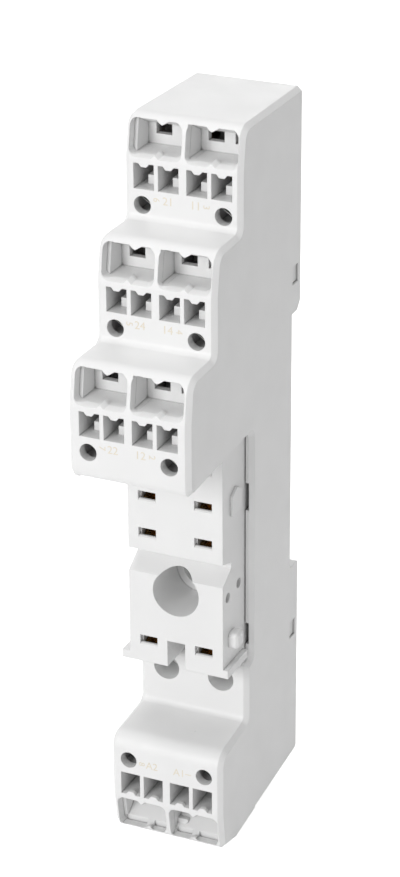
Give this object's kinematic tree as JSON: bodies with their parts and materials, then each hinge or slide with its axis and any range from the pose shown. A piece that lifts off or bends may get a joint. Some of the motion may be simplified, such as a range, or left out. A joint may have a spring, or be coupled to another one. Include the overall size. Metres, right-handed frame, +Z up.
{
  "type": "relay socket",
  "caption": "Slim socket for a plug-in relay: stepped tiers of push-in terminals above and below a slotted relay bay, with a notch at the back for a top-hat rail.",
  "frame": {"origin": "middle of the notch floor at the back, where the socket sits on its rail", "axes": "+Z up along the socket's length, +Y out of the back into the rail, so the front looks along -Y, +X to the right of someone facing the front"},
  "size_m": [0.0156, 0.0346, 0.095],
  "materials": {
    "housing_plastic": "fine matt, light grey",
    "block_plastic": "fine matt, light grey",
    "base_plastic": "fine matt, light grey",
    "latch_plastic": "fine matt, light grey",
    "contact_brass": "plain strip",
    "spring_steel": "plain strip"
  },
  "bodies": {
    "socket": {"housing": "housing_plastic", "base": "base_plastic", "relay_block": "block_plastic", "latch_spring": "spring_steel", "contact_clip_11": "contact_brass", "bus_bar_11": "contact_brass", "clamp_spring_11_a": "spring_steel", "clamp_spring_11_b": "spring_steel", "contact_clip_12": "contact_brass", "bus_bar_12": "contact_brass", "clamp_spring_12_a": "spring_steel", "clamp_spring_12_b": "spring_steel", "contact_clip_14": "contact_brass", "bus_bar_14": "contact_brass", "clamp_spring_14_a": "spring_steel", "clamp_spring_14_b": "spring_steel", "contact_clip_21": "contact_brass", "bus_bar_21": "contact_brass", "clamp_spring_21_a": "spring_steel", "clamp_spring_21_b": "spring_steel", "contact_clip_22": "contact_brass", "bus_bar_22": "contact_brass", "clamp_spring_22_a": "spring_steel", "clamp_spring_22_b": "spring_steel", "contact_clip_24": "contact_brass", "bus_bar_24": "contact_brass", "clamp_spring_24_a": "spring_steel", "clamp_spring_24_b": "spring_steel", "contact_clip_A1": "contact_brass", "bus_bar_A1": "contact_brass", "clamp_spring_A1_a": "spring_steel", "clamp_spring_A1_b": "spring_steel", "contact_clip_A2": "contact_brass", "bus_bar_A2": "contact_brass", "clamp_spring_A2_a": "spring_steel", "clamp_spring_A2_b": "spring_steel"},
    "latch": {"rail_latch": "latch_plastic"}
  },
  "joints": [
    {"name": "rail_latch_slide", "type": "slide", "parent": "socket", "child": "latch", "axis": [0, 0, -1], "range_m": [0, 0.0025], "stiffness_N_per_m": 400, "springref_m": -0.002, "deforming": ["latch_spring"]}
  ]
}
